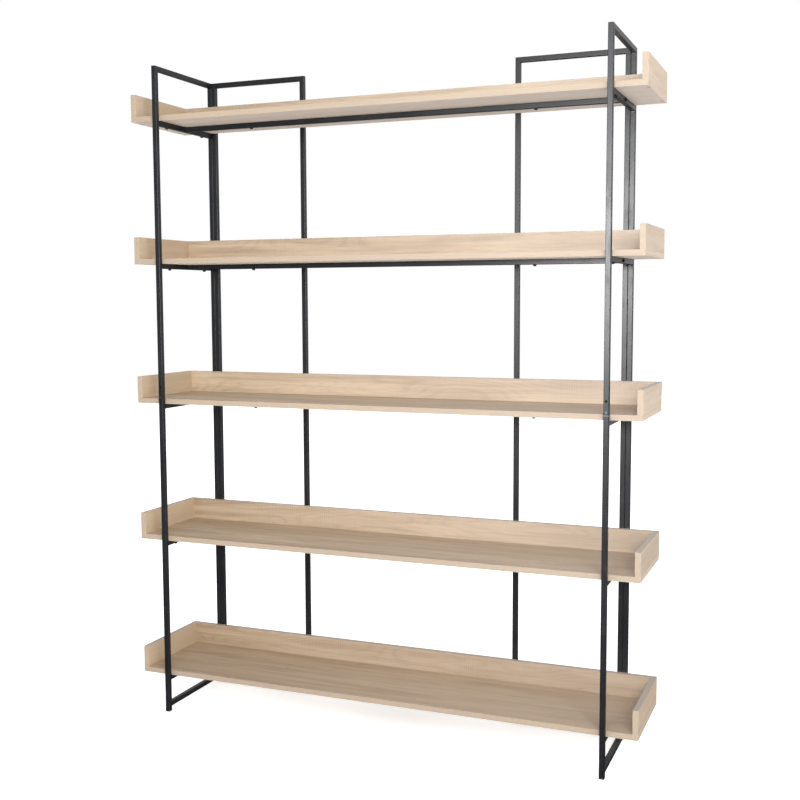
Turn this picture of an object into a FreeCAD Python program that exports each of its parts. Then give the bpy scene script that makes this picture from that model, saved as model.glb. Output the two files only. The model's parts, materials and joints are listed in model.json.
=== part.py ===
"""Open bookcase: square tube side and rear frames that carry five bolted wooden tray shelves.

Frame: millimetres, +Z up, front towards -Y, origin on the floor below the middle of the bookcase.
"""

import FreeCAD, Part
import os
import Sketcher

SHELVES = range(5)
SIDES = {"left": -1, "right": 1}

ALONG_X = FreeCAD.Rotation(FreeCAD.Vector(0, 1, 0), 90)
ALONG_Y = FreeCAD.Rotation(FreeCAD.Vector(1, 0, 0), -90)
UPRIGHT = FreeCAD.Rotation()

DIMENSIONS = [
    ("overall_height", 2000, "floor to the top of the frames"),
    ("frame_width", 1396, "over the outer faces of the side frames"),
    ("frame_depth", 332, "over the front and back faces of the frames"),
    ("tube", 15, "outer size of the square tube"),
    ("wall", 1.5, "wall of the square tube"),
    ("corner", 1.5, "outer corner radius of the square tube"),
    ("rear_gap", 692, "clear gap between the two rear frames"),
    ("stretcher", 15, "floor to the underside of the lowest rails"),
    ("splice", 990, "floor to the joint line of the uprights"),
    ("bevel", 0.5, "bevel round the tube ends that meet at the joint line"),
    ("pin_length", 120, "splice pin, half of it in each length of upright"),
    ("splice_low", 8, "joint line to the round-headed splice screw"),
    ("splice_high", 38.5, "joint line to the grub screw"),
    ("foot", 4, "visible height of a foot cap"),
    ("plug", 16, "height of the foot cap's plug in the tube"),
    ("first_shelf", 115, "floor to the underside of the lowest tray"),
    ("pitch", 431, "distance from one tray to the next"),
    ("tray_length", 1570, "tray over its end panels"),
    ("tray_depth", 300, "tray from front to back"),
    ("board", 16, "thickness of the tray boards"),
    ("rim", 67, "height of the end and back panels above the base board"),
    ("ease", 0.5, "radius of the eased edges of the tray boards"),
    ("side_spread", 200, "between the two tray bolts of a side rail"),
    ("centre_spread", 900, "between the two tray bolts of a centre rail"),
    ("bolt", 5, "diameter of the tray, rail and link bolts"),
    ("bolt_head", 10, "diameter of the round bolt heads"),
    ("bolt_crown", 4.5, "height of the round bolt heads"),
    ("bolt_reach", 12, "depth of a tray bolt in the base board"),
    ("key", 3, "width across flats of the hexagon recess in a head"),
    ("key_depth", 2.5, "depth of the hexagon recess in a bolt head"),
    ("insert_length", 22, "threaded insert in the end of a centre rail"),
    ("rail_bolt_reach", 18, "depth of a rail bolt in the threaded insert"),
    ("screw", 4, "shank diameter of the splice and tray screws"),
    ("screw_head", 8, "head diameter of the splice and tray screws"),
    ("splice_crown", 2, "height of a splice screw head"),
    ("splice_reach", 10, "length of a splice screw below its head"),
    ("grub", 6, "diameter of the grub screws"),
    ("grub_length", 8, "length of a grub screw"),
    ("grub_sink", 1, "outer face of a tube to the end of its grub screw"),
    ("tray_screw_length", 50, "length of a tray screw with its countersunk head"),
    ("tray_screw_spread", 210, "between the two tray screws of an end panel"),
    ("dowel", 8, "diameter of the beech dowels"),
    ("dowel_length", 30, "length of the beech dowels"),
    ("dowel_sink", 10, "depth of a dowel in the base board or the end panel"),
    ("dowel_spread", 1000, "between the outer two of the three dowels in a base board"),
    ("dowel_rise", 34, "base board to the dowel between back and end panel"),
    ("link_rise", 50, "tray underside to the link bolt behind it"),
    ("link_head", 3, "height of a link bolt head"),
    ("nut", 8, "width of a link nut across its flats"),
    ("nut_height", 4, "height of a link nut"),
    ("clearance", 0.4, "added to a shank's diameter for its hole"),
]

doc = FreeCAD.newDocument("Bookcase")
sheet = doc.addObject("Spreadsheet::Sheet", "Size")
for row, (alias, number, note) in enumerate(DIMENSIONS, start=1):
    sheet.set(f"A{row}", note)
    sheet.set(f"B{row}", str(number))
    sheet.setAlias(f"B{row}", alias)
doc.recompute()

subparts = []


# Expressions shared by several pieces.

HALF = "Size.tube / 2"
SIDE_X = "(Size.frame_width - Size.tube) / 2"
SIDE_Y = "(Size.frame_depth - Size.tube) / 2"
OUTER_X = "(Size.frame_width - 3 * Size.tube) / 2"
INNER_X = "(Size.rear_gap + Size.tube) / 2"
TOP_Z = "Size.overall_height - Size.tube / 2"
STRETCHER_Z = "Size.stretcher + Size.tube / 2"
BETWEEN_SIDES = "Size.frame_width - 2 * Size.tube"
BETWEEN_UPRIGHTS = "Size.frame_depth - 2 * Size.tube"
REAR_SPAN = f"{OUTER_X} - {INNER_X}"
PANEL_X = "(Size.tray_length - Size.board) / 2"
PANEL_Y = "(Size.tray_depth - Size.board) / 2"
BOLT_HOLE = "Size.bolt + Size.clearance"
GRUB_HOLE = "Size.grub + Size.clearance"
SCREW_HOLE = "Size.screw + Size.clearance"
DOWEL_HOLE = "Size.dowel + Size.clearance"


def shelf_z(shelf):
    """Underside of a tray."""
    return f"(Size.first_shelf + {shelf} * Size.pitch)"


def signed(sign, expression):
    return f"{sign} * ({expression})"


def size(expression):
    """The number that an expression of the sheet's aliases stands for."""
    return sheet.evalExpression(expression)


# Sketches and features.

def new_body(label, x="0", y="0", z="0", rotation=UPRIGHT):
    """A sub-part's body, placed by expressions."""
    body = doc.addObject("PartDesign::Body", label)
    body.Label = label
    body.Placement = FreeCAD.Placement(FreeCAD.Vector(), rotation)
    for axis, expression in zip("xyz", (x, y, z)):
        body.setExpression(f".Placement.Base.{axis}", expression)
    return body


def origin_feature(body, role):
    """One of the body's own origin planes or axes."""
    return next(item for item in body.Origin.OriginFeatures if item.Role == role)


def new_sketch(body, plane, offset="0"):
    """A sketch on one of the body's own origin planes, moved along the plane's normal."""
    sketch = body.newObject("Sketcher::SketchObject", f"{body.Name}_sketch")
    sketch.AttachmentSupport = (origin_feature(body, plane), [""])
    sketch.MapMode = "FlatFace"
    sketch.setExpression(".AttachmentOffset.Base.z", offset)
    return sketch


def constrain(sketch, kind, geometry, expression):
    """Adds one dimension to a sketch and binds it to the sheet."""
    value = sketch.evalExpression(expression)
    index = sketch.addConstraint(Sketcher.Constraint(kind, *geometry, value))
    name = f"{kind}{index}"
    sketch.renameConstraint(index, name)
    sketch.setExpression(f"Constraints.{name}", expression)


def add_polygon(sketch, points):
    """A closed outline through corners given as pairs of expressions."""
    corners = [
        FreeCAD.Vector(sketch.evalExpression(across), sketch.evalExpression(up), 0)
        for across, up in points
    ]
    first = sketch.GeometryCount
    count = len(points)
    for k in range(count):
        sketch.addGeometry(Part.LineSegment(corners[k], corners[(k + 1) % count]))
    for k in range(count):
        joined = (first + k, 2, first + (k + 1) % count, 1)
        sketch.addConstraint(Sketcher.Constraint("Coincident", *joined))
    for k, (across, up) in enumerate(points):
        constrain(sketch, "DistanceX", (-1, 1, first + k, 1), across)
        constrain(sketch, "DistanceY", (-1, 1, first + k, 1), up)


def add_rectangle(sketch, width, height, across="0", up="0"):
    """A rectangle about a centre."""
    left, right = (f"{across} - ({width}) / 2", f"{across} + ({width}) / 2")
    low, high = (f"{up} - ({height}) / 2", f"{up} + ({height}) / 2")
    add_polygon(sketch, [(left, low), (right, low), (right, high), (left, high)])


def add_circle(sketch, across, up, diameter):
    centre = FreeCAD.Vector(sketch.evalExpression(across), sketch.evalExpression(up), 0)
    radius = sketch.evalExpression(f"({diameter}) / 2")
    index = sketch.addGeometry(Part.Circle(centre, FreeCAD.Vector(0, 0, 1), radius))
    constrain(sketch, "DistanceX", (-1, 1, index, 3), across)
    constrain(sketch, "DistanceY", (-1, 1, index, 3), up)
    constrain(sketch, "Diameter", (index,), diameter)


def add_hexagon(sketch, across, up, flats):
    """A regular hexagon about a centre, with two corners straight above and below it."""
    corners = [(0, 1), (1, 0.5), (1, -0.5), (0, -1), (-1, -0.5), (-1, 0.5)]
    add_polygon(sketch, [(f"{across} + {x} * ({flats}) / 2", f"{up} + {y} * ({flats}) / sqrt(3)")
                         for x, y in corners])


def pad(body, sketch, length, reverse=False):
    feature = body.newObject("PartDesign::Pad", f"{body.Name}_pad")
    feature.Profile = sketch
    feature.setExpression("Length", length)
    feature.Reversed = reverse
    return feature


def pocket(body, sketch, length=None, reverse=False):
    """A cut of a given length, or both ways through the whole piece."""
    feature = body.newObject("PartDesign::Pocket", f"{body.Name}_pocket")
    feature.Profile = sketch
    feature.Reversed = reverse
    if length is None:
        feature.Type = "ThroughAll"
        feature.SideType = "Symmetric"
    else:
        feature.setExpression("Length", length)
    return feature


def drill(body, plane, centres, diameter, length=None, reverse=False, offset="0"):
    """Round holes about one or more centres."""
    sketch = new_sketch(body, plane, offset)
    for across, up in centres:
        add_circle(sketch, across, up, diameter)
    return pocket(body, sketch, length, reverse)


def key_recesses(body, plane, centres, length, reverse=False, offset="0"):
    """Hexagon recesses for a key, in heads about one or more centres."""
    sketch = new_sketch(body, plane, offset)
    for across, up in centres:
        add_hexagon(sketch, across, up, "Size.key")
    return pocket(body, sketch, length, reverse)


def discs(body, plane, centres, diameter, length, reverse=False, offset="0"):
    """Round pads about one or more centres."""
    sketch = new_sketch(body, plane, offset)
    for across, up in centres:
        add_circle(sketch, across, up, diameter)
    return pad(body, sketch, length, reverse)


def repeat(body, axis, length, count=2):
    """Repeats everything built so far along one of the body's axes."""
    feature = body.newObject("PartDesign::LinearPattern", f"{body.Name}_pattern")
    feature.TransformMode = "Whole shape"
    feature.Direction = (origin_feature(body, axis), [""])
    feature.setExpression("Length", length)
    feature.Occurrences = count
    body.Tip = feature


def repeat_on_shelves(body):
    repeat(body, "Z_Axis", f"{len(SHELVES) - 1} * Size.pitch", len(SHELVES))


def mirror(body, plane):
    """Mirrors everything built so far about one of the body's origin planes."""
    feature = body.newObject("PartDesign::Mirrored", f"{body.Name}_mirror")
    feature.TransformMode = "Whole shape"
    feature.MirrorPlane = (origin_feature(body, plane), [""])
    body.Tip = feature


def round_edges(body, feature, radius, wanted):
    """Fillets the edges of a feature that the function wanted accepts."""
    doc.recompute()
    names = [f"Edge{k}" for k, edge in enumerate(feature.Shape.Edges, start=1) if wanted(edge)]
    fillet = body.newObject("PartDesign::Fillet", f"{body.Name}_fillet")
    fillet.Base = (feature, names)
    fillet.setExpression("Radius", radius)
    return fillet


def ease(body, feature):
    """Takes the sharpness off every edge of a board."""
    round_edges(body, feature, "Size.ease", lambda edge: True)


# Square tubes: each is built along its own Z axis, with its section centred on that axis.

def new_tube(label, length, x, y, z, rotation=UPRIGHT):
    body = new_body(label, x, y, z, rotation)
    sketch = new_sketch(body, "XY_Plane")
    add_rectangle(sketch, "Size.tube", "Size.tube")
    inside = "Size.tube - 2 * Size.wall"
    add_rectangle(sketch, inside, inside)
    section = pad(body, sketch, length)
    outside = size("tube / 2")

    def outer_corner(edge):
        start = edge.Vertexes[0].Point
        end = edge.Vertexes[-1].Point
        at_corner = min(abs(start.x), abs(start.y)) > outside - 0.01
        return at_corner and abs(end.z - start.z) > outside

    round_edges(body, section, "Size.corner", outer_corner)
    return body


def mitre(body, plane, inner, length=None):
    """Cuts the start, or the end at a given length, at 45 degrees; inner is the short side."""
    end = length or "0"
    short = f"{end} - Size.tube" if length else "Size.tube"
    sketch = new_sketch(body, plane)
    inside, outside = (signed(inner, HALF), signed(-inner, HALF))
    add_polygon(sketch, [(inside, end), (outside, end), (inside, short)])
    pocket(body, sketch)


def finish(body):
    subparts.append(body)


def bevel_end(body, level):
    """Bevels the outer edges of a tube's end, at a level along the tube."""
    outside = size("tube / 2 - wall / 2")

    def outer_end(edge):
        at_level = all(abs(vertex.Z - level) < 0.01 for vertex in edge.Vertexes)
        middle = edge.valueAt((edge.FirstParameter + edge.LastParameter) / 2)
        return at_level and max(abs(middle.x), abs(middle.y)) > outside

    feature = body.Tip
    doc.recompute()
    names = [f"Edge{k}" for k, edge in enumerate(feature.Shape.Edges, start=1) if outer_end(edge)]
    chamfer = body.newObject("PartDesign::Chamfer", f"{body.Name}_bevel")
    chamfer.Base = (feature, names)
    chamfer.setExpression("Size", "Size.bevel")


def new_upright(label, x, face, mitre_plane, inner, linked):
    """Both lengths of an upright; their screws enter the face away from the trays."""
    y = signed(face, SIDE_Y)
    low_length = "Size.splice - Size.foot"
    high_length = "Size.overall_height - Size.splice"
    low = new_tube(f"{label}_lower", low_length, x, y, "Size.foot")
    high = new_tube(f"{label}_upper", high_length, x, y, "Size.splice")
    bevel_end(low, size("splice - foot"))
    bevel_end(high, 0)
    mitre(high, mitre_plane, inner, high_length)
    for height, hole in (("Size.splice_low", SCREW_HOLE), ("Size.splice_high", GRUB_HOLE)):
        drill(high, "XZ_Plane", [("0", height)], hole, "Size.tube", reverse=face < 0)
    if linked:
        for body, start, shelves in ((low, "Size.foot", (0, 1)), (high, "Size.splice", (3, 4))):
            heights = [f"{shelf_z(k)} + Size.link_rise - {start}" for k in shelves]
            drill(body, "YZ_Plane", [("0", height) for height in heights], BOLT_HOLE)
    finish(low)
    finish(high)


# Frames.

for side, sign in SIDES.items():
    side_x = signed(sign, SIDE_X)
    new_upright(f"{side}_front_upright", side_x, -1, "YZ_Plane", 1, linked=False)
    new_upright(f"{side}_back_upright", side_x, 1, "YZ_Plane", -1, linked=True)

    top_rail = new_tube(f"{side}_top_rail", "Size.frame_depth", side_x,
                        "-Size.frame_depth / 2", TOP_Z, ALONG_Y)
    mitre(top_rail, "YZ_Plane", 1)
    mitre(top_rail, "YZ_Plane", 1, "Size.frame_depth")
    finish(top_rail)
    finish(new_tube(f"{side}_floor_stretcher", BETWEEN_UPRIGHTS, side_x,
                    f"-({BETWEEN_UPRIGHTS}) / 2", STRETCHER_Z, ALONG_Y))

    outer_x = signed(sign, OUTER_X)
    inner_x = signed(sign, INNER_X)
    new_upright(f"{side}_rear_outer_upright", outer_x, 1, "XZ_Plane", -sign, linked=True)
    new_upright(f"{side}_rear_inner_upright", inner_x, 1, "XZ_Plane", sign, linked=False)

    rail_start = outer_x if sign < 0 else inner_x
    rear_length = f"{REAR_SPAN} + Size.tube"
    rear_top = new_tube(f"{side}_rear_top_rail", rear_length,
                        f"{rail_start} - {HALF}", SIDE_Y, TOP_Z, ALONG_X)
    mitre(rear_top, "XZ_Plane", 1)
    mitre(rear_top, "XZ_Plane", 1, rear_length)
    finish(rear_top)
    finish(new_tube(f"{side}_rear_bottom_rail", f"{REAR_SPAN} - Size.tube",
                    f"{rail_start} + {HALF}", SIDE_Y, STRETCHER_Z, ALONG_X))


# Shelves: rails below, and a tray of base board, end panels and back panel.

SIDE_BOLTS = [signed(sign, "Size.side_spread / 2") for sign in (-1, 1)]
CENTRE_BOLTS = [signed(sign, "Size.centre_spread / 2") for sign in (-1, 1)]
TRAY_SCREWS = [signed(sign, "Size.tray_screw_spread / 2") for sign in (-1, 1)]
BASE_DOWELS = [signed(sign, "Size.dowel_spread / 2") for sign in (-1, 0, 1)]
MIDDLE_SHELF = 2
TRAY_SCREW_POINTS = [(signed(sign, PANEL_X), y) for sign in (-1, 1) for y in TRAY_SCREWS]
BASE_DOWEL_POINTS = [(x, PANEL_Y) for x in BASE_DOWELS]
COUNTERSINK = "(Size.screw_head - Size.screw) / 2"
PANEL_DOWEL_Z = "Size.dowel_rise"


def tray_bolt_points(shelf):
    """Bolts of a tray in plan; the middle tray has none in its side rails."""
    points = [(x, "0") for x in CENTRE_BOLTS]
    if shelf != MIDDLE_SHELF:
        points += [(signed(sign, SIDE_X), y) for sign in (-1, 1) for y in SIDE_BOLTS]
    return points


for shelf in SHELVES:
    rail_z = f"{shelf_z(shelf)} - {HALF}"
    name = f"shelf_{shelf + 1}"

    rails = new_tube(f"{name}_side_rails", BETWEEN_UPRIGHTS, signed(-1, SIDE_X),
                     f"-({BETWEEN_UPRIGHTS}) / 2", rail_z, ALONG_Y)
    middle = f"({BETWEEN_UPRIGHTS}) / 2"
    if shelf != MIDDLE_SHELF:
        drill(rails, "XZ_Plane", [("0", f"{middle} + {y}") for y in SIDE_BOLTS], BOLT_HOLE)
    drill(rails, "YZ_Plane", [("0", middle)], BOLT_HOLE)
    repeat(rails, "X_Axis", f"2 * {SIDE_X}")
    finish(rails)

    centre = new_tube(f"{name}_centre_rail", BETWEEN_SIDES, f"-({BETWEEN_SIDES}) / 2",
                      "0", rail_z, ALONG_X)
    middle = f"({BETWEEN_SIDES}) / 2"
    drill(centre, "YZ_Plane", [("0", f"{middle} + {x}") for x in CENTRE_BOLTS], BOLT_HOLE)
    finish(centre)

    base = new_body(f"{name}_base_board", z=shelf_z(shelf))
    sketch = new_sketch(base, "XY_Plane")
    add_rectangle(sketch, "Size.tray_length", "Size.tray_depth")
    ease(base, pad(base, sketch, "Size.board"))
    drill(base, "XY_Plane", tray_bolt_points(shelf), BOLT_HOLE,
          "Size.bolt_reach + Size.clearance", reverse=True)
    drill(base, "XY_Plane", TRAY_SCREW_POINTS, SCREW_HOLE)
    sketch = new_sketch(base, "XY_Plane")
    for point in TRAY_SCREW_POINTS:
        add_circle(sketch, *point, "Size.screw_head + Size.clearance")
    cone = pocket(base, sketch, COUNTERSINK, reverse=True)
    cone.TaperAngle = -45
    drill(base, "XY_Plane", BASE_DOWEL_POINTS, DOWEL_HOLE,
          "Size.dowel_sink + Size.clearance", offset="Size.board")
    finish(base)

    back = new_body(f"{name}_back_panel", y=PANEL_Y, z=f"{shelf_z(shelf)} + Size.board")
    sketch = new_sketch(back, "XY_Plane")
    add_rectangle(sketch, "Size.tray_length - 2 * Size.board", "Size.board")
    ease(back, pad(back, sketch, "Size.rim"))
    deep = "Size.dowel_length - Size.dowel_sink + Size.clearance"
    drill(back, "XY_Plane", [(x, "0") for x in BASE_DOWELS], DOWEL_HOLE, deep, reverse=True)
    for sign in (-1, 1):
        drill(back, "YZ_Plane", [("0", PANEL_DOWEL_Z)], DOWEL_HOLE, deep, reverse=sign < 0,
              offset=signed(sign, "Size.tray_length / 2 - Size.board"))
    finish(back)

    ends = new_body(f"{name}_end_panels", z=f"{shelf_z(shelf)} + Size.board")
    sketch = new_sketch(ends, "XY_Plane")
    add_rectangle(sketch, "Size.board", "Size.tray_depth", PANEL_X)
    ease(ends, pad(ends, sketch, "Size.rim"))
    drill(ends, "XY_Plane", [(PANEL_X, y) for y in TRAY_SCREWS], SCREW_HOLE,
          "Size.tray_screw_length - Size.board + Size.clearance", reverse=True)
    drill(ends, "YZ_Plane", [(PANEL_Y, PANEL_DOWEL_Z)], DOWEL_HOLE,
          "Size.dowel_sink + Size.clearance", reverse=True,
          offset="Size.tray_length / 2 - Size.board")
    mirror(ends, "YZ_Plane")
    finish(ends)


# Joining pieces and fasteners, each kind one group of separate solids.

def head_rim(diameter, level, axis):
    """Picks the outer rim of round heads, at a level along an axis."""
    def wanted(edge):
        curve = edge.Curve
        if not isinstance(curve, Part.Circle):
            return False
        right_size = abs(curve.Radius - diameter / 2) < 0.01
        return right_size and abs(abs(getattr(curve.Center, axis)) - level) < 0.01
    return wanted


ALL_UPRIGHTS = [(signed(sign, x), signed(face, SIDE_Y))
                for sign in (-1, 1)
                for x, face in ((SIDE_X, -1), (SIDE_X, 1), (OUTER_X, 1), (INNER_X, 1))]

inside = "Size.tube - 2 * Size.wall"
pins = new_body("splice_pins", z="Size.splice - Size.pin_length / 2")
sketch = new_sketch(pins, "XY_Plane")
for x, y in ALL_UPRIGHTS:
    add_rectangle(sketch, inside, inside, x, y)
pad(pins, sketch, "Size.pin_length")
columns = sorted({x for x, y in ALL_UPRIGHTS})
for height, hole in (("Size.splice_low", SCREW_HOLE), ("Size.splice_high", GRUB_HOLE)):
    drill(pins, "XZ_Plane", [(x, f"Size.pin_length / 2 + {height}") for x in columns], hole)
finish(pins)

# A foot cap is a little narrower than its tube, so neighbouring caps stay apart.
caps = new_body("foot_caps")
sketch = new_sketch(caps, "XY_Plane")
for x, y in ALL_UPRIGHTS:
    add_rectangle(sketch, "Size.tube - Size.clearance", "Size.tube - Size.clearance", x, y)
pad(caps, sketch, "Size.foot")
sketch = new_sketch(caps, "XY_Plane", "Size.foot")
for x, y in ALL_UPRIGHTS:
    add_rectangle(sketch, f"{inside} - Size.clearance", f"{inside} - Size.clearance", x, y)
pad(caps, sketch, "Size.plug")
finish(caps)

# Splice and grub screws point backwards at the front and forwards at the back.


def splice_points(face, height):
    """Screw places on the front or the back uprights, at a height above the joint line."""
    return [(x, height) for x, y in ALL_UPRIGHTS if y == signed(face, SIDE_Y)]


screws = new_body("splice_screws", z="Size.splice")
for face in (-1, 1):
    points = splice_points(face, "Size.splice_low")
    surface = signed(-face, "Size.frame_depth / 2")
    discs(screws, "XZ_Plane", points, "Size.screw_head", "Size.splice_crown",
          reverse=face > 0, offset=surface)
    discs(screws, "XZ_Plane", points, "Size.screw", "Size.splice_reach",
          reverse=face < 0, offset=surface)
head = screws.Tip
rim_level = size("frame_depth / 2 + splice_crown")
round_edges(screws, head, "Size.splice_crown / 2", head_rim(size("screw_head"), rim_level, "y"))
for face in (-1, 1):
    key_recesses(screws, "XZ_Plane", splice_points(face, "Size.splice_low"),
                 "Size.splice_crown", reverse=face > 0,
                 offset=signed(-face, "Size.frame_depth / 2 + Size.splice_crown"))
finish(screws)

grubs = new_body("splice_grub_screws", z="Size.splice")
for face in (-1, 1):
    points = splice_points(face, "Size.splice_high")
    surface = signed(-face, "Size.frame_depth / 2 - Size.grub_sink")
    discs(grubs, "XZ_Plane", points, "Size.grub", "Size.grub_length",
          reverse=face < 0, offset=surface)
    key_recesses(grubs, "XZ_Plane", points, "Size.key_depth", reverse=face > 0, offset=surface)
finish(grubs)

tray_bolts = new_body("tray_bolts", z="Size.first_shelf - Size.tube")
for shelf in SHELVES:
    points = tray_bolt_points(shelf)
    surface = f"{shelf} * Size.pitch"
    head = discs(tray_bolts, "XY_Plane", points, "Size.bolt_head", "Size.bolt_crown",
                 reverse=True, offset=surface)
    rim_level = abs(size(f"{shelf} * pitch - bolt_crown"))
    round_edges(tray_bolts, head, "Size.bolt_crown * 0.7",
                head_rim(size("bolt_head"), rim_level, "z"))
    discs(tray_bolts, "XY_Plane", points, "Size.bolt", "Size.tube + Size.bolt_reach",
          offset=surface)
    key_recesses(tray_bolts, "XY_Plane", points, "Size.key_depth", reverse=True,
                 offset=f"{surface} - Size.bolt_crown")
finish(tray_bolts)

rail_bolts = new_body("centre_rail_bolts", z=f"Size.first_shelf - {HALF}")
surface = "Size.frame_width / 2"
head = discs(rail_bolts, "YZ_Plane", [("0", "0")], "Size.bolt_head", "Size.bolt_crown",
             offset=surface)
round_edges(rail_bolts, head, "Size.bolt_crown * 0.7",
            head_rim(size("bolt_head"), size("frame_width / 2 + bolt_crown"), "x"))
discs(rail_bolts, "YZ_Plane", [("0", "0")], "Size.bolt", "Size.tube + Size.rail_bolt_reach",
      reverse=True, offset=surface)
key_recesses(rail_bolts, "YZ_Plane", [("0", "0")], "Size.key_depth",
             offset=f"{surface} + Size.bolt_crown")
mirror(rail_bolts, "YZ_Plane")
repeat_on_shelves(rail_bolts)
finish(rail_bolts)

inserts = new_body("centre_rail_inserts", z=f"Size.first_shelf - {HALF}")
sketch = new_sketch(inserts, "YZ_Plane", f"({BETWEEN_SIDES}) / 2 - Size.insert_length")
add_rectangle(sketch, inside, inside)
add_circle(sketch, "0", "0", BOLT_HOLE)
pad(inserts, sketch, "Size.insert_length")
mirror(inserts, "YZ_Plane")
repeat_on_shelves(inserts)
finish(inserts)

tray_screws = new_body("tray_screws", z="Size.first_shelf")
cone = discs(tray_screws, "XY_Plane", TRAY_SCREW_POINTS, "Size.screw_head", COUNTERSINK)
cone.TaperAngle = -45
discs(tray_screws, "XY_Plane", TRAY_SCREW_POINTS, "Size.screw", "Size.tray_screw_length")
key_recesses(tray_screws, "XY_Plane", TRAY_SCREW_POINTS, "Size.key_depth", reverse=True)
repeat_on_shelves(tray_screws)
finish(tray_screws)

dowels = new_body("tray_dowels", z="Size.first_shelf + Size.board")
discs(dowels, "XY_Plane", BASE_DOWEL_POINTS, "Size.dowel", "Size.dowel_length",
      offset="-Size.dowel_sink")
for sign in (-1, 1):
    discs(dowels, "YZ_Plane", [(PANEL_Y, PANEL_DOWEL_Z)], "Size.dowel", "Size.dowel_length",
          reverse=sign > 0,
          offset=signed(sign, "Size.tray_length / 2 - Size.board + Size.dowel_sink"))
repeat_on_shelves(dowels)
finish(dowels)

# Link bolts go through both back uprights from the outside, two low and two high.
LINKS = [(SIDE_Y, f"{k} * Size.pitch") for k in (0, 1, 3, 4)]
link_bolts = new_body("frame_link_bolts", z="Size.first_shelf + Size.link_rise")
for sign in (-1, 1):
    head = discs(link_bolts, "YZ_Plane", LINKS, "Size.bolt_head", "Size.link_head",
                 reverse=sign < 0, offset=signed(sign, "Size.frame_width / 2"))
round_edges(link_bolts, head, "Size.link_head / 2",
            head_rim(size("bolt_head"), size("frame_width / 2 + link_head"), "x"))
for sign in (-1, 1):
    discs(link_bolts, "YZ_Plane", LINKS, "Size.bolt", "2 * Size.tube + Size.nut_height + 1",
          reverse=sign > 0, offset=signed(sign, "Size.frame_width / 2"))
    key_recesses(link_bolts, "YZ_Plane", LINKS, "Size.key_depth", reverse=sign < 0,
                 offset=signed(sign, "Size.frame_width / 2 + Size.link_head"))
finish(link_bolts)

nuts = new_body("frame_link_nuts", z="Size.first_shelf + Size.link_rise")
for sign in (-1, 1):
    sketch = new_sketch(nuts, "YZ_Plane", signed(sign, f"({BETWEEN_SIDES}) / 2 - Size.tube"))
    for y, z in LINKS:
        add_hexagon(sketch, y, z, "Size.nut")
        add_circle(sketch, y, z, BOLT_HOLE)
    pad(nuts, sketch, "Size.nut_height", reverse=sign > 0)
finish(nuts)


# Checks and export.

doc.recompute()
for item in doc.Objects:
    if {"Invalid", "Error"} & set(item.State):
        raise RuntimeError(f"{item.Label}: {item.State}")
    if item.TypeId == "PartDesign::Pocket":
        removed = item.BaseFeature.Shape.Volume - item.Shape.Volume
        if removed < 0.1:
            raise RuntimeError(f"{item.Label} cuts nothing")
for piece in subparts:
    if piece.Shape.isNull() or not piece.Shape.isValid():
        raise RuntimeError(f"{piece.Label}: bad shape")

os.makedirs("parts", exist_ok=True)
for piece in subparts:
    piece.Shape.exportStep(f"parts/{piece.Label}.step")
    print(piece.Label, len(piece.Shape.Solids), round(piece.Shape.Volume, 1), piece.Shape.BoundBox)
print(len(subparts), "sub-parts")
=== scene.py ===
"""Studio scene for the open bookcase: oak decor trays on powder-coated square tube frames."""

import json
import math

import bmesh
import bpy
from mathutils import Matrix, Vector


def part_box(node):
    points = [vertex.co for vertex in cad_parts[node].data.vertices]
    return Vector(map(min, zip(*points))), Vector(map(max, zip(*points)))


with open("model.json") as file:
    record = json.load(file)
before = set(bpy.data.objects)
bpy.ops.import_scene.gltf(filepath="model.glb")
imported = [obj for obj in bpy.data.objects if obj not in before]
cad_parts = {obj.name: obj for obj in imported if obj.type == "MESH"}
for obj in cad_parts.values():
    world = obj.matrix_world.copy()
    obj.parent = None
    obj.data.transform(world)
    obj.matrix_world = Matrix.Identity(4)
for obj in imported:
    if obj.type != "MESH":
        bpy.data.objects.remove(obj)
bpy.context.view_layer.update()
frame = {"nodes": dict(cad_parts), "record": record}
nodes = frame["nodes"]
scene = bpy.context.scene


# Node graph helpers.

# The Mix node's colour sockets share their names with its other types, so they go by number.
MIX_FIRST = 6
MIX_SECOND = 7
MIX_RESULT = 2


def fill(node, **values):
    """Sets a node's input values by name; underscores stand for spaces."""
    for name, value in values.items():
        node.inputs[name.replace("_", " ")].default_value = value


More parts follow.
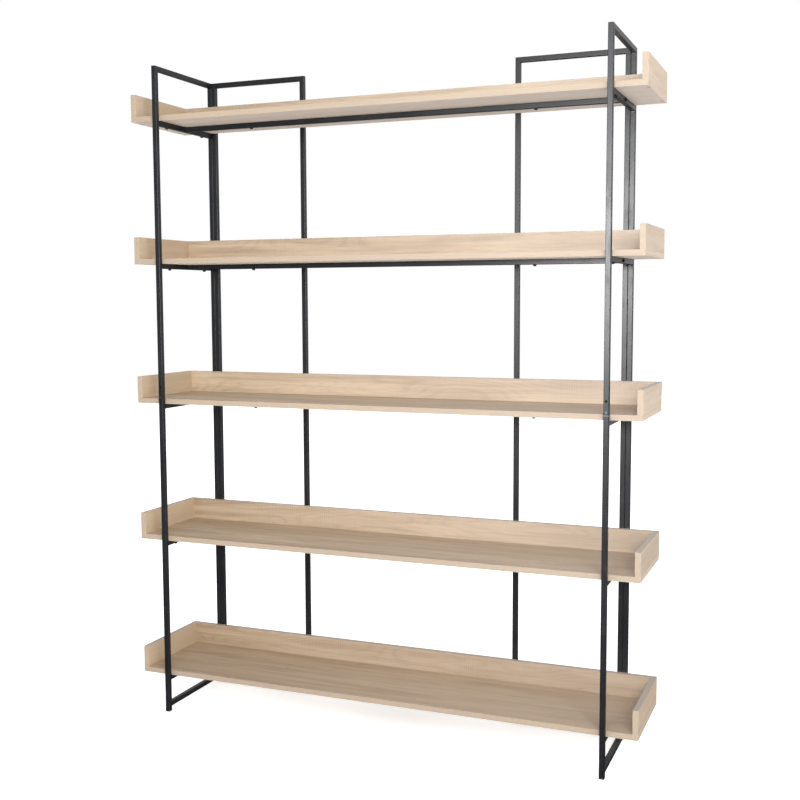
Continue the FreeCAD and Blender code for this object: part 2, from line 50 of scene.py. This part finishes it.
class Graph:
    """Short ways to add nodes to a node tree."""

    def __init__(self, tree):
        self.tree = tree

    def add(self, kind):
        """A new node, by its type's name."""
        return self.tree.nodes.new(kind)

    def join(self, source, target):
        """Links an output socket to an input socket."""
        self.tree.links.new(source, target)

    def feed(self, source, target):
        """Links a socket, or sets a plain value."""
        if isinstance(source, bpy.types.NodeSocket):
            self.join(source, target)
        else:
            target.default_value = source

    def mapped(self, vector, location=(0, 0, 0), rotation=(0, 0, 0), scale=(1, 1, 1)):
        """Coordinates that are scaled, then turned, then shifted."""
        node = self.add("ShaderNodeMapping")
        fill(node, Location=location, Rotation=rotation, Scale=scale)
        self.join(vector, node.inputs["Vector"])
        return node.outputs["Vector"]

    def noise(self, vector, scale=1.0, detail=2.0, roughness=0.5, distortion=0.0):
        node = self.add("ShaderNodeTexNoise")
        self.join(vector, node.inputs["Vector"])
        fill(node, Scale=scale, Detail=detail, Roughness=roughness, Distortion=distortion)
        return node.outputs["Fac"]

    def bands(self, vector, scale, distortion, detail, detail_scale):
        """Bands that follow one another along X."""
        node = self.add("ShaderNodeTexWave")
        node.wave_type = "BANDS"
        node.bands_direction = "X"
        self.join(vector, node.inputs["Vector"])
        fill(node, Scale=scale, Distortion=distortion, Detail=detail, Detail_Scale=detail_scale)
        return node.outputs["Fac"]

    def span(self, value, low, high, to_low=0.0, to_high=1.0):
        """Maps a range of a value onto another range, clamped."""
        node = self.add("ShaderNodeMapRange")
        self.feed(value, node.inputs["Value"])
        fill(node, From_Min=low, From_Max=high, To_Min=to_low, To_Max=to_high)
        return node.outputs["Result"]

    def math(self, kind, first, second=0.0):
        node = self.add("ShaderNodeMath")
        node.operation = kind
        self.feed(first, node.inputs[0])
        self.feed(second, node.inputs[1])
        return node.outputs["Value"]

    def mix(self, factor, first, second):
        """Mixes two colours, each a socket or three plain numbers."""
        node = self.add("ShaderNodeMix")
        node.data_type = "RGBA"
        self.feed(factor, node.inputs["Factor"])
        for source, place in ((first, MIX_FIRST), (second, MIX_SECOND)):
            plain = not isinstance(source, bpy.types.NodeSocket)
            self.feed((*source, 1.0) if plain else source, node.inputs[place])
        return node.outputs[MIX_RESULT]

    def shade(self, colour, tint, value, low, high, most=1.0):
        """Moves a colour towards a tint, up to a share, as a value goes from low to high."""
        return self.mix(self.span(value, low, high, 0.0, most), colour, tint)

    def split(self, vector):
        """A vector's three parts."""
        node = self.add("ShaderNodeSeparateXYZ")
        self.join(vector, node.inputs["Vector"])
        return node.outputs["X"], node.outputs["Y"], node.outputs["Z"]


class Surface(Graph):
    """A new material with one shader."""

    def __init__(self, name):
        self.material = bpy.data.materials.new(name)
        self.material.use_nodes = True
        super().__init__(self.material.node_tree)
        self.tree.nodes.clear()
        self.shader = self.add("ShaderNodeBsdfPrincipled")
        output = self.add("ShaderNodeOutputMaterial")
        self.join(self.shader.outputs["BSDF"], output.inputs["Surface"])

    def place(self):
        """Coordinates fixed to the object, in metres."""
        return self.add("ShaderNodeTexCoord").outputs["Object"]

    def normal_axes(self):
        """The surface normal's three parts, before any bump."""
        return self.split(self.add("ShaderNodeNewGeometry").outputs["True Normal"])

    def show(self, colour, roughness):
        """Links the colour and the roughness to the shader."""
        self.join(colour, self.shader.inputs["Base Color"])
        self.join(roughness, self.shader.inputs["Roughness"])

    def bump(self, height, strength, distance):
        node = self.add("ShaderNodeBump")
        fill(node, Strength=strength, Distance=distance)
        self.join(height, node.inputs["Height"])
        self.join(node.outputs["Normal"], self.shader.inputs["Normal"])


# Oak decor.

OAK_PALE = (0.690, 0.550, 0.395)
OAK_LIGHT = (0.600, 0.470, 0.330)
OAK_MID = (0.440, 0.325, 0.215)
OAK_DARK = (0.270, 0.190, 0.128)
# The colour of the painted shade on the low shelves.
OAK_PAINTED_SHADE = (0.300, 0.195, 0.112)
OAK_ROSY_PAINTED_LIGHT = (0.510, 0.430, 0.366)
OAK_UNDER = (0.470, 0.425, 0.395)
EDGE_PEACH = (0.345, 0.275, 0.208)
EDGE_GREY = (0.360, 0.320, 0.292)

# Noise cells per metre along X, Y and Z. The grain runs along X, in the end bands along Y.
TONE_CELLS = (1.5, 17, 17)
SWELL_CELLS = (1.5, 9, 9)
FIBRE_CELLS = (9, 420, 420)
STREAK_CELLS = (1.9, 70, 70)
PORE_CELLS = (38, 1150, 1150)
PATCH_CELLS = (2.4, 7, 7)
END_CELLS = (70, 1.9, 70)

# Saw marks are nearly straight lines across the grain, about 7 mm apart.
SAW_STRETCH = (1, 0.05, 0.05)
SAW_SCALE = 46.0
SAW_DEPTH = 0.25

# Growth rings: the rise of their phase per metre across the board, and its swell along it.
RING_RISE = 420.0
RING_SWELL = 150.0

# How far each board's figure is shifted for a seed of 1, in metres.
SEED_SHIFT = (3.1, 1.7, 0.9)

# The largest share of the rosy painted light at the right end.
ROSY_PAINTED_LIGHT_MOST = 0.5
HALF_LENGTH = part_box("shelf_1_base_board")[1][0]


def oak(name, seed, along="X", front_band=False, top_band=False, end_bands=False, painted_shade=0.0,
        painted_light=(0.0, 0.0)):
    """Pale rough-sawn oak decor: arched figure, fibres, pores, saw marks and edge bands.

    It gets rosier and paler from left to right as painted light from the right, darker by the
    share deep as painted shade, and lighter by the two shares in lift as painted light, at the
    left end and at the right end.
    """
    g = Surface(name)
    turn = 0.0 if along == "X" else math.pi / 2
    place = g.mapped(g.place(), location=[seed * shift for shift in SEED_SHIFT],
                     rotation=(0, 0, turn))
    tone = g.noise(g.mapped(place, scale=TONE_CELLS), detail=4.0, roughness=0.6, distortion=0.6)
    swell = g.noise(g.mapped(place, scale=SWELL_CELLS), detail=1.5, roughness=0.4, distortion=0.3)
    fibre = g.noise(g.mapped(place, scale=FIBRE_CELLS), detail=5.0, roughness=0.65)
    streak = g.noise(g.mapped(place, scale=STREAK_CELLS), detail=4.0, roughness=0.6)
    pore = g.noise(g.mapped(place, scale=PORE_CELLS), detail=1.0, roughness=0.4)
    patch = g.noise(g.mapped(place, scale=PATCH_CELLS))
    saw = g.bands(g.mapped(place, scale=SAW_STRETCH), SAW_SCALE, distortion=1.8, detail=2.0,
                  detail_scale=4.0)

    # Growth rings are contours of a height that rises across the board and swells along it.
    _, across, up = g.split(place)
    rise = g.math("MULTIPLY", g.math("ADD", across, up), RING_RISE)
    height = g.math("ADD", rise, g.math("MULTIPLY", swell, RING_SWELL))
    ring = g.span(g.math("SINE", height), 0.0, 1.0)
    figure = g.math("MULTIPLY", ring, g.span(tone, 0.35, 0.62, 0.10, 0.34))

    colour = g.mix(g.span(tone, 0.38, 0.62), OAK_LIGHT, OAK_MID)
    colour = g.mix(figure, colour, OAK_DARK)
    colour = g.mix(g.span(streak, 0.24, 0.48, 0.55, 0.0), colour, OAK_PALE)
    colour = g.shade(colour, OAK_DARK, streak, 0.50, 0.74, most=0.50)
    colour = g.shade(colour, OAK_DARK, fibre, 0.50, 0.72, most=0.26)
    colour = g.shade(colour, OAK_DARK, pore, 0.64, 0.70, most=0.32)
    sawn = g.math("MULTIPLY", g.span(saw, 0.40, 0.90, 0.0, 0.27), g.span(patch, 0.46, 0.62))
    colour = g.mix(sawn, colour, OAK_PALE)

    sideways, facing, rising = g.normal_axes()
    if end_bands:
        grain = g.noise(g.mapped(g.place(), scale=END_CELLS), detail=4.0, roughness=0.6)
        band = g.mix(g.span(grain, 0.40, 0.70), OAK_LIGHT, OAK_MID)
        colour = g.shade(colour, band, g.math("ABSOLUTE", sideways), 0.7, 0.9, most=0.92)
    left_to_right = g.split(g.place())[0]
    # Painted light: the oak gets rosier and paler from left to right, as if lit from the right.
    colour = g.shade(colour, OAK_ROSY_PAINTED_LIGHT, left_to_right, -HALF_LENGTH, HALF_LENGTH, most=ROSY_PAINTED_LIGHT_MOST)
    # Painted shade: the board is darkened by the share deep.
    colour = g.mix(painted_shade, colour, OAK_PAINTED_SHADE)
    # Painted light: the board is lightened towards OAK_LIGHT at its left and right ends.
    colour = g.mix(g.span(left_to_right, -HALF_LENGTH, HALF_LENGTH, *painted_light), colour, OAK_LIGHT)
    colour = g.mix(g.span(rising, -0.9, -0.7, 0.62, 0.0), colour, OAK_UNDER)
    if front_band:
        band = g.shade(EDGE_PEACH, OAK_MID, streak, 0.40, 0.70, most=0.35)
        colour = g.mix(g.span(facing, -0.9, -0.7, 0.92, 0.0), colour, band)
    roughness = g.span(fibre, 0.3, 0.8, 0.50, 0.68)
    if top_band:
        colour = g.shade(colour, EDGE_GREY, rising, 0.7, 0.9, most=0.55)
        roughness = g.math("MULTIPLY", roughness, g.span(rising, 0.7, 0.9, 1.0, 0.55))
    g.show(colour, roughness)
    g.bump(g.math("ADD", fibre, g.math("MULTIPLY", saw, SAW_DEPTH)), strength=0.16,
           distance=0.0004)
    fill(g.shader, Specular_IOR_Level=0.35)
    return g.material


# Powder coat.

COAT_DARK = (0.0052, 0.0060, 0.0082)
COAT_LIGHT = (0.0085, 0.0096, 0.0125)
COAT_SPECK = (0.021, 0.022, 0.026)
COAT_DUST = (0.038, 0.040, 0.045)
# Bare steel at the joint line, partly a painted highlight.
BARE_STEEL_GLINT = (0.36, 0.36, 0.38)

# The joint line of the uprights, and how far from it the coating is drawn light, partly as rubbed
# coating and partly as a painted highlight, in metres.
JOINT_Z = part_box("right_front_upright_lower")[1][2]
JOINT_RUB_AND_GLINT = 0.0011


def powder_coat(name):
    """Satin charcoal powder coat: orange peel, faint dust, and a light line at the right joints,
    partly rubbed coating and partly a painted highlight.
    """
    g = Surface(name)
    place = g.place()
    peel = g.noise(place, scale=620.0, detail=3.0, roughness=0.55)
    speck = g.noise(place, scale=2400.0, detail=1.0)
    cloud = g.noise(place, scale=7.0, detail=3.0)
    dust = g.noise(g.mapped(place, scale=(1, 1, 0.35)), scale=46.0, detail=5.0, roughness=0.7)
    colour = g.mix(g.span(cloud, 0.35, 0.65), COAT_DARK, COAT_LIGHT)
    colour = g.shade(colour, COAT_SPECK, speck, 0.62, 0.75, most=0.5)
    colour = g.shade(colour, COAT_DUST, dust, 0.56, 0.75, most=0.22)

    across, _, up = g.split(place)
    # A light line at the joints, on the right uprights only: partly rubbed coating, partly a
    # painted highlight.
    from_joint = g.math("ABSOLUTE", g.math("SUBTRACT", up, JOINT_Z))
    rub_and_glint = g.span(from_joint, JOINT_RUB_AND_GLINT * 0.5, JOINT_RUB_AND_GLINT, 0.75, 0.0)
    rub_and_glint = g.math("MULTIPLY", rub_and_glint, g.math("GREATER_THAN", across, 0.0))
    rub_and_glint = g.math("MULTIPLY", rub_and_glint, g.span(dust, 0.35, 0.55, 0.35, 1.0))
    colour = g.mix(rub_and_glint, colour, BARE_STEEL_GLINT)

    smooth = g.span(cloud, 0.3, 0.7, 0.33, 0.38)
    g.show(colour, g.math("ADD", smooth, g.span(dust, 0.5, 0.8, 0.0, 0.10)))
    g.bump(g.math("ADD", peel, g.math("MULTIPLY", speck, 0.3)), strength=0.18, distance=0.0003)
    fill(g.shader, Specular_IOR_Level=0.29)
    return g.material


# Fasteners, foot caps and dowels.

CAP_BLACK = (0.014, 0.014, 0.015)
CAP_SCUFF = (0.05, 0.05, 0.05)
BEECH_LIGHT = (0.66, 0.47, 0.29)
BEECH_DARK = (0.56, 0.37, 0.21)
BEECH_FLECK = (0.34, 0.20, 0.11)


def metal(name, dark, light, metallic, roughness, marks_scale, gloss=0.5):
    """Plated or blackened steel with fine turning marks and stains."""
    g = Surface(name)
    place = g.place()
    stain = g.noise(place, scale=160.0, detail=4.0, roughness=0.6)
    marks = g.noise(g.mapped(place, scale=(1, 1, 6)), scale=marks_scale, detail=3.0,
                    roughness=0.6)
    colour = g.mix(g.span(stain, 0.35, 0.7), dark, light)
    g.show(colour, g.span(marks, 0.3, 0.7, roughness - 0.07, roughness + 0.10))
    g.bump(marks, strength=0.15, distance=0.0001)
    fill(g.shader, Metallic=metallic, Specular_IOR_Level=gloss)
    return g.material


def plastic(name):
    """Moulded black plastic with a fine spark-eroded texture."""
    g = Surface(name)
    place = g.place()
    grit = g.noise(place, scale=1500.0)
    scuff = g.noise(place, scale=90.0, detail=4.0, roughness=0.7)
    colour = g.shade(CAP_BLACK, CAP_SCUFF, scuff, 0.5, 0.8, most=0.6)
    g.show(colour, g.span(grit, 0.3, 0.7, 0.55, 0.72))
    g.bump(grit, strength=0.3, distance=0.0002)
    return g.material


def beech(name):
    """Raw beech dowel stock with short flecks."""
    g = Surface(name)
    place = g.place()
    fleck = g.noise(g.mapped(place, scale=(1, 1, 0.12)), scale=900.0, detail=3.0, roughness=0.6)
    tone = g.noise(place, scale=30.0, detail=3.0)
    colour = g.mix(g.span(tone, 0.3, 0.7), BEECH_LIGHT, BEECH_DARK)
    colour = g.shade(colour, BEECH_FLECK, fleck, 0.55, 0.75, most=0.5)
    g.show(colour, g.span(fleck, 0.3, 0.7, 0.62, 0.78))
    g.bump(fleck, strength=0.25, distance=0.0002)
    return g.material


# Every piece gets its material.

BY_SLOT = {
    "powder_coat": powder_coat("powder_coat_satin"),
    "black_steel": metal("black_oxide", (0.012, 0.012, 0.013), (0.03, 0.03, 0.032),
                         metallic=0.75, roughness=0.42, marks_scale=2600.0),
    "zinc_steel": metal("zinc_plate", (0.46, 0.47, 0.49), (0.66, 0.66, 0.64),
                        metallic=1.0, roughness=0.36, marks_scale=3200.0),
    "foot_plastic": plastic("foot_cap_plastic"),
    "beech_dowel": beech("beech_dowel_raw"),
}
NICKEL = metal("splice_screw_nickel", (0.045, 0.045, 0.05), (0.10, 0.10, 0.11),
               metallic=1.0, roughness=0.42, marks_scale=3200.0)
# The grub screws are black oxide, and are drawn near pitch black and almost without sheen as
# painted shade for the holes they sit in.
GRUB_BLACK_AND_PAINTED_SHADE = metal("grub_screw_black_and_painted_shade", (0.002, 0.002, 0.002), (0.005, 0.005, 0.006),
             metallic=0.0, roughness=0.85, marks_scale=2600.0, gloss=0.03)


def dress(node, material):
    """Puts a material in every slot of a node."""
    for slot in nodes[node].material_slots:
        slot.material = material


for entry in frame["record"]["subparts"]:
    if entry["material_slot"] in BY_SLOT:
        dress(entry["node"], BY_SLOT[entry["material_slot"]])

dress("splice_screws", NICKEL)
dress("splice_grub_screws", GRUB_BLACK_AND_PAINTED_SHADE)

SHELVES = range(1, 6)

# Seeds of the boards' figure: the step from shelf to shelf, and the start.
BASE_SEED = (1.37, 0.0)
BACK_SEED = (2.11, 0.6)
ENDS_SEED = (0.83, 4.2)

# The low shelves are darkened as painted shade, and their end panels differ more from left to
# right through painted light at their ends.
LOW_SHELF_PAINTED_SHADE = {1: 0.25, 2: 0.08}
ENDS_PAINTED_SHADE = {1: 0.33, 2: 0.16}
# Shares of painted light at the left end and at the right end of the end panels.
LOW_PAINTED_LIGHT = (0.7, 0.0)
HIGH_PAINTED_LIGHT = (0.62, 0.15)


def board_seed(step_and_start, shelf):
    step, start = step_and_start
    return step * shelf + start


for shelf in SHELVES:
    painted_shade = LOW_SHELF_PAINTED_SHADE.get(shelf, 0.0)
    dress(f"shelf_{shelf}_base_board",
          oak(f"oak_base_{shelf}", board_seed(BASE_SEED, shelf), front_band=True, end_bands=True,
              painted_shade=painted_shade))
    dress(f"shelf_{shelf}_back_panel",
          oak(f"oak_back_{shelf}", board_seed(BACK_SEED, shelf), top_band=True, painted_shade=painted_shade))
    dress(f"shelf_{shelf}_end_panels",
          oak(f"oak_ends_{shelf}", board_seed(ENDS_SEED, shelf), along="Y", front_band=True,
              top_band=True, painted_shade=ENDS_PAINTED_SHADE.get(shelf, 0.0),
              painted_light=LOW_PAINTED_LIGHT if shelf in LOW_SHELF_PAINTED_SHADE else HIGH_PAINTED_LIGHT))


# Studio: a pale floor, a pale surround and soft lights.

def add_to_scene(name, data):
    """A new object in the scene, from its mesh, light or camera data."""
    item = bpy.data.objects.new(name, data)
    scene.collection.objects.link(item)
    return item


# The floor's glow rises from FLOOR_GLOW at its middle to 1 at FLOOR_FAR metres out.
FLOOR_HALF = 14.0
FLOOR_FAR = 1.6
FLOOR_GLOW = 0.42
FLOOR_DARKER = (0.90, 0.90, 0.90)
FLOOR_LIGHTER = (0.92, 0.92, 0.92)
WHITE = (1.0, 1.0, 1.0, 1.0)
BLACK = (0.0, 0.0, 0.0, 1.0)


def floor_material():
    """A pale sweep: matt near the bookcase, as bright as the surround further out."""
    g = Surface("studio_floor")
    place = g.place()
    tone = g.noise(place, scale=3.0)
    colour = g.mix(g.span(tone, 0.3, 0.7), FLOOR_DARKER, FLOOR_LIGHTER)
    g.join(colour, g.shader.inputs["Base Color"])
    reach = g.add("ShaderNodeVectorMath")
    reach.operation = "LENGTH"
    g.join(place, reach.inputs[0])
    glow = g.span(reach.outputs["Value"], 0.0, FLOOR_FAR, FLOOR_GLOW, 1.0)
    g.join(glow, g.shader.inputs["Emission Strength"])
    fill(g.shader, Roughness=0.9, Specular_IOR_Level=0.1, Emission_Color=WHITE)
    return g.material


floor_mesh = bpy.data.meshes.new("studio_floor")
floor_mesh.from_pydata([(-FLOOR_HALF, -FLOOR_HALF, 0), (FLOOR_HALF, -FLOOR_HALF, 0),
                        (FLOOR_HALF, FLOOR_HALF, 0), (-FLOOR_HALF, FLOOR_HALF, 0)],
                       [], [(0, 1, 2, 3)])
floor_mesh.materials.append(floor_material())
floor = add_to_scene("studio_floor", floor_mesh)
floor.visible_glossy = False

DOME_RADIUS = 13.0


def dome():
    """A white dome that only the camera sees; the surround below lights the bookcase."""
    mesh = bpy.data.meshes.new("studio_dome")
    shape = bmesh.new()
    bmesh.ops.create_uvsphere(shape, u_segments=48, v_segments=24, radius=DOME_RADIUS)
    shape.to_mesh(mesh)
    shape.free()
    white = Surface("studio_white")
    fill(white.shader, Base_Color=BLACK, Specular_IOR_Level=0.0, Emission_Color=WHITE,
         Emission_Strength=1.0)
    mesh.materials.append(white.material)
    shell = add_to_scene("studio_dome", mesh)
    shell.visible_diffuse = False
    shell.visible_glossy = False
    shell.visible_transmission = False
    shell.visible_shadow = False


dome()

# The surround's brightness: by height as (direction's Z, brightness), and by side.
BY_HEIGHT = [(-1.0, 0.05), (-0.30, 0.05), (-0.04, 0.85), (0.42, 0.95), (0.80, 0.35),
             (1.0, 0.35)]
LEFT_SIDE = 0.70
RIGHT_SIDE = 1.10


def surround():
    """A pale wall all round, darker towards the floor, the ceiling and the left."""
    world = bpy.data.worlds.new("studio")
    world.use_nodes = True
    g = Graph(world.node_tree)
    background = g.tree.nodes["Background"]
    fill(background, Color=WHITE)
    across, _, up = g.split(g.add("ShaderNodeTexCoord").outputs["Generated"])
    curve = g.add("ShaderNodeFloatCurve")
    # A new point starts in the middle; the second loop gives every point its place.
    points = curve.mapping.curves[0].points
    while len(points) < len(BY_HEIGHT):
        points.new(0.5, 0.5)
    for point, (height, strength) in zip(points, BY_HEIGHT):
        point.location = ((height + 1) / 2, strength)
        point.handle_type = "VECTOR"
    curve.mapping.extend = "HORIZONTAL"
    curve.mapping.update()
    g.join(g.span(up, -1.0, 1.0), curve.inputs["Value"])
    side = g.span(across, -1.0, 1.0, LEFT_SIDE, RIGHT_SIDE)
    strength = g.math("MULTIPLY", curve.outputs["Value"], side)
    g.join(strength, background.inputs["Strength"])
    return world


scene.world = surround()
scene.view_settings.view_transform = "Standard"


def soft_light(name, place, aim, size, power, gloss_only=False):
    """A square area light aimed at a point; sizes in metres, power in watts."""
    lamp = bpy.data.lights.new(name, "AREA")
    lamp.shape = "SQUARE"
    lamp.size = size
    lamp.energy = power
    light = add_to_scene(name, lamp)
    light.location = place
    light.rotation_euler = (Vector(aim) - Vector(place)).to_track_quat("-Z", "Y").to_euler()
    light.visible_diffuse = not gloss_only


soft_light("key_right", place=(1.9, -2.7, 2.0), aim=(0.3, 0.0, 1.3), size=1.2, power=65.0)
soft_light("front_fill", place=(0.4, -3.1, 2.2), aim=(0.1, 0.0, 1.4), size=1.2, power=40.0)
soft_light("sheen_card", place=(0.25, -3.2, 1.5), aim=(0.6, 0.0, 1.4), size=0.5, power=130.0,
           gloss_only=True)


# Camera: stands at the right front, a little over mid-height, and looks down to the left.

CAMERA_PLACE = Vector((1.2941, -3.0988, 1.3003))
CAMERA_YAW = 0.3847
CAMERA_PITCH = -0.0901
CAMERA_ROLL = -0.0037
SENSOR = 36.0
PICTURE_WIDTH = 800
FOCAL_PIXELS = 1126.4

forward = Vector((-math.sin(CAMERA_YAW) * math.cos(CAMERA_PITCH),
                  math.cos(CAMERA_YAW) * math.cos(CAMERA_PITCH),
                  math.sin(CAMERA_PITCH)))
level = Vector((math.cos(CAMERA_YAW), math.sin(CAMERA_YAW), 0.0))
upward = level.cross(forward)
right = math.cos(CAMERA_ROLL) * level + math.sin(CAMERA_ROLL) * upward
above = math.cos(CAMERA_ROLL) * upward - math.sin(CAMERA_ROLL) * level

lens = bpy.data.cameras.new("camera")
lens.sensor_width = SENSOR
lens.lens = FOCAL_PIXELS / PICTURE_WIDTH * SENSOR
camera = add_to_scene("camera", lens)
axes = Matrix((right, above, -forward)).transposed()
camera.matrix_world = Matrix.Translation(CAMERA_PLACE) @ axes.to_4x4()
scene.camera = camera
